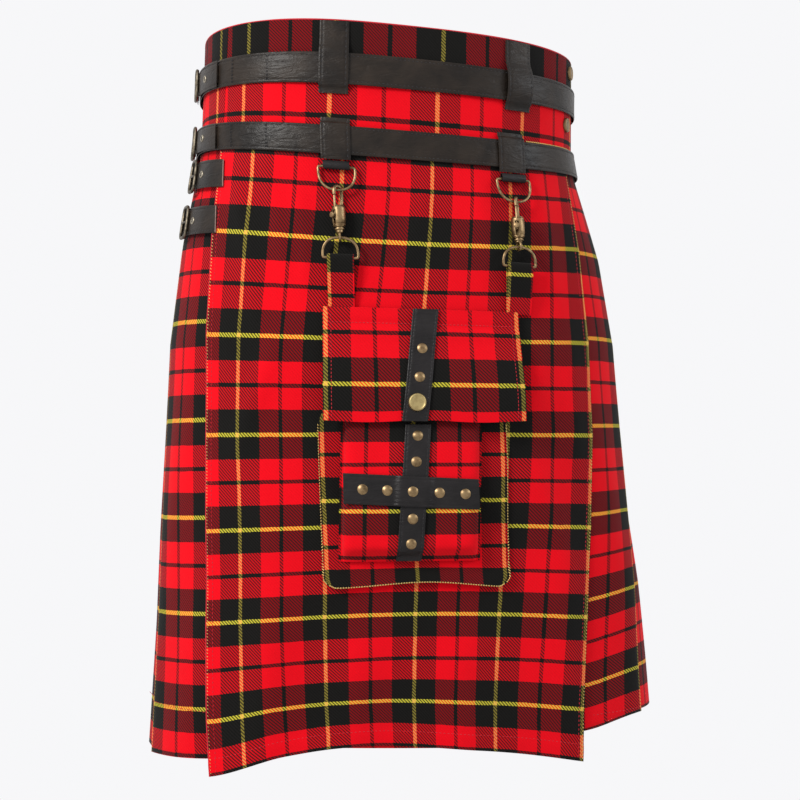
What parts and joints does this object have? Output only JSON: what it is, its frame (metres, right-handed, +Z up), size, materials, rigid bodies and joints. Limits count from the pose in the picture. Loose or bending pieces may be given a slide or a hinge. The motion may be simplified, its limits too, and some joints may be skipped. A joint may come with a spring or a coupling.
{
  "type": "utility kilt",
  "caption": "Checked cloth wrap kilt with pleated sides and back, leather belts and a clip-on pouch.",
  "frame": {"origin": "waist centre, at the middle of the upper belt's height", "axes": "+Z up along the wearer, -Y to the front, +X to the viewer's right"},
  "size_m": [0.4594, 0.3508, 0.6435],
  "materials": {
    "checked_cloth": "2/2 twill, red and black check with thin yellow lines",
    "leather": "black brown, satin, stitched edges",
    "silver_metal": "nickel plated",
    "aged_brass": "antiqued, satin"
  },
  "bodies": {
    "kilt": {"bag_back": "checked_cloth", "bag_cross_strap": "leather", "bag_flap": "checked_cloth", "bag_flap_strap": "leather", "bag_pouch": "checked_cloth", "bag_pouch_strap": "leather", "belt_buckle_lower": "silver_metal", "belt_buckle_upper": "silver_metal", "belt_lower": "leather", "belt_tongue_lower": "leather", "belt_tongue_upper": "leather", "belt_upper": "leather", "d_ring_left": "aged_brass", "d_ring_right": "aged_brass", "front_apron": "checked_cloth", "hanger_left": "checked_cloth", "hanger_right": "checked_cloth", "hip_buckle_lower": "silver_metal", "hip_buckle_upper": "silver_metal", "hip_strap_lower": "leather", "hip_strap_upper": "leather", "hook_left": "aged_brass", "hook_right": "aged_brass", "hook_ring_left": "aged_brass", "hook_ring_right": "aged_brass", "loop_back_left": "leather", "loop_back_right": "leather", "loop_lower_left": "leather", "loop_lower_right": "leather", "loop_upper_left": "leather", "loop_upper_right": "leather", "pleats_left": "checked_cloth", "pleats_right": "checked_cloth", "ring_tab_left": "leather", "ring_tab_right": "leather", "rivet_cross_1": "aged_brass", "rivet_cross_2": "aged_brass", "rivet_cross_3": "aged_brass", "rivet_cross_4": "aged_brass", "rivet_cross_5": "aged_brass", "rivet_flap_1": "aged_brass", "rivet_flap_2": "aged_brass", "rivet_pouch_1": "aged_brass", "rivet_pouch_2": "aged_brass", "rivet_pouch_3": "aged_brass", "rivet_pouch_4": "aged_brass", "snap_flap": "aged_brass", "under_apron": "checked_cloth", "yoke_back": "checked_cloth", "yoke_front": "checked_cloth", "yoke_snap_lower": "aged_brass", "yoke_snap_upper": "aged_brass"},
    "bolt_left": {"hook_bolt_left": "aged_brass"},
    "bolt_right": {"hook_bolt_right": "aged_brass"}
  },
  "joints": [
    {"name": "bolt_left_slide", "type": "slide", "parent": "kilt", "child": "bolt_left", "axis": [0.0571, -0.0767, -0.9954], "range_m": [0, 0.005]},
    {"name": "bolt_right_slide", "type": "slide", "parent": "kilt", "child": "bolt_right", "axis": [0.0534, -0.1042, -0.9931], "range_m": [0, 0.005]}
  ]
}
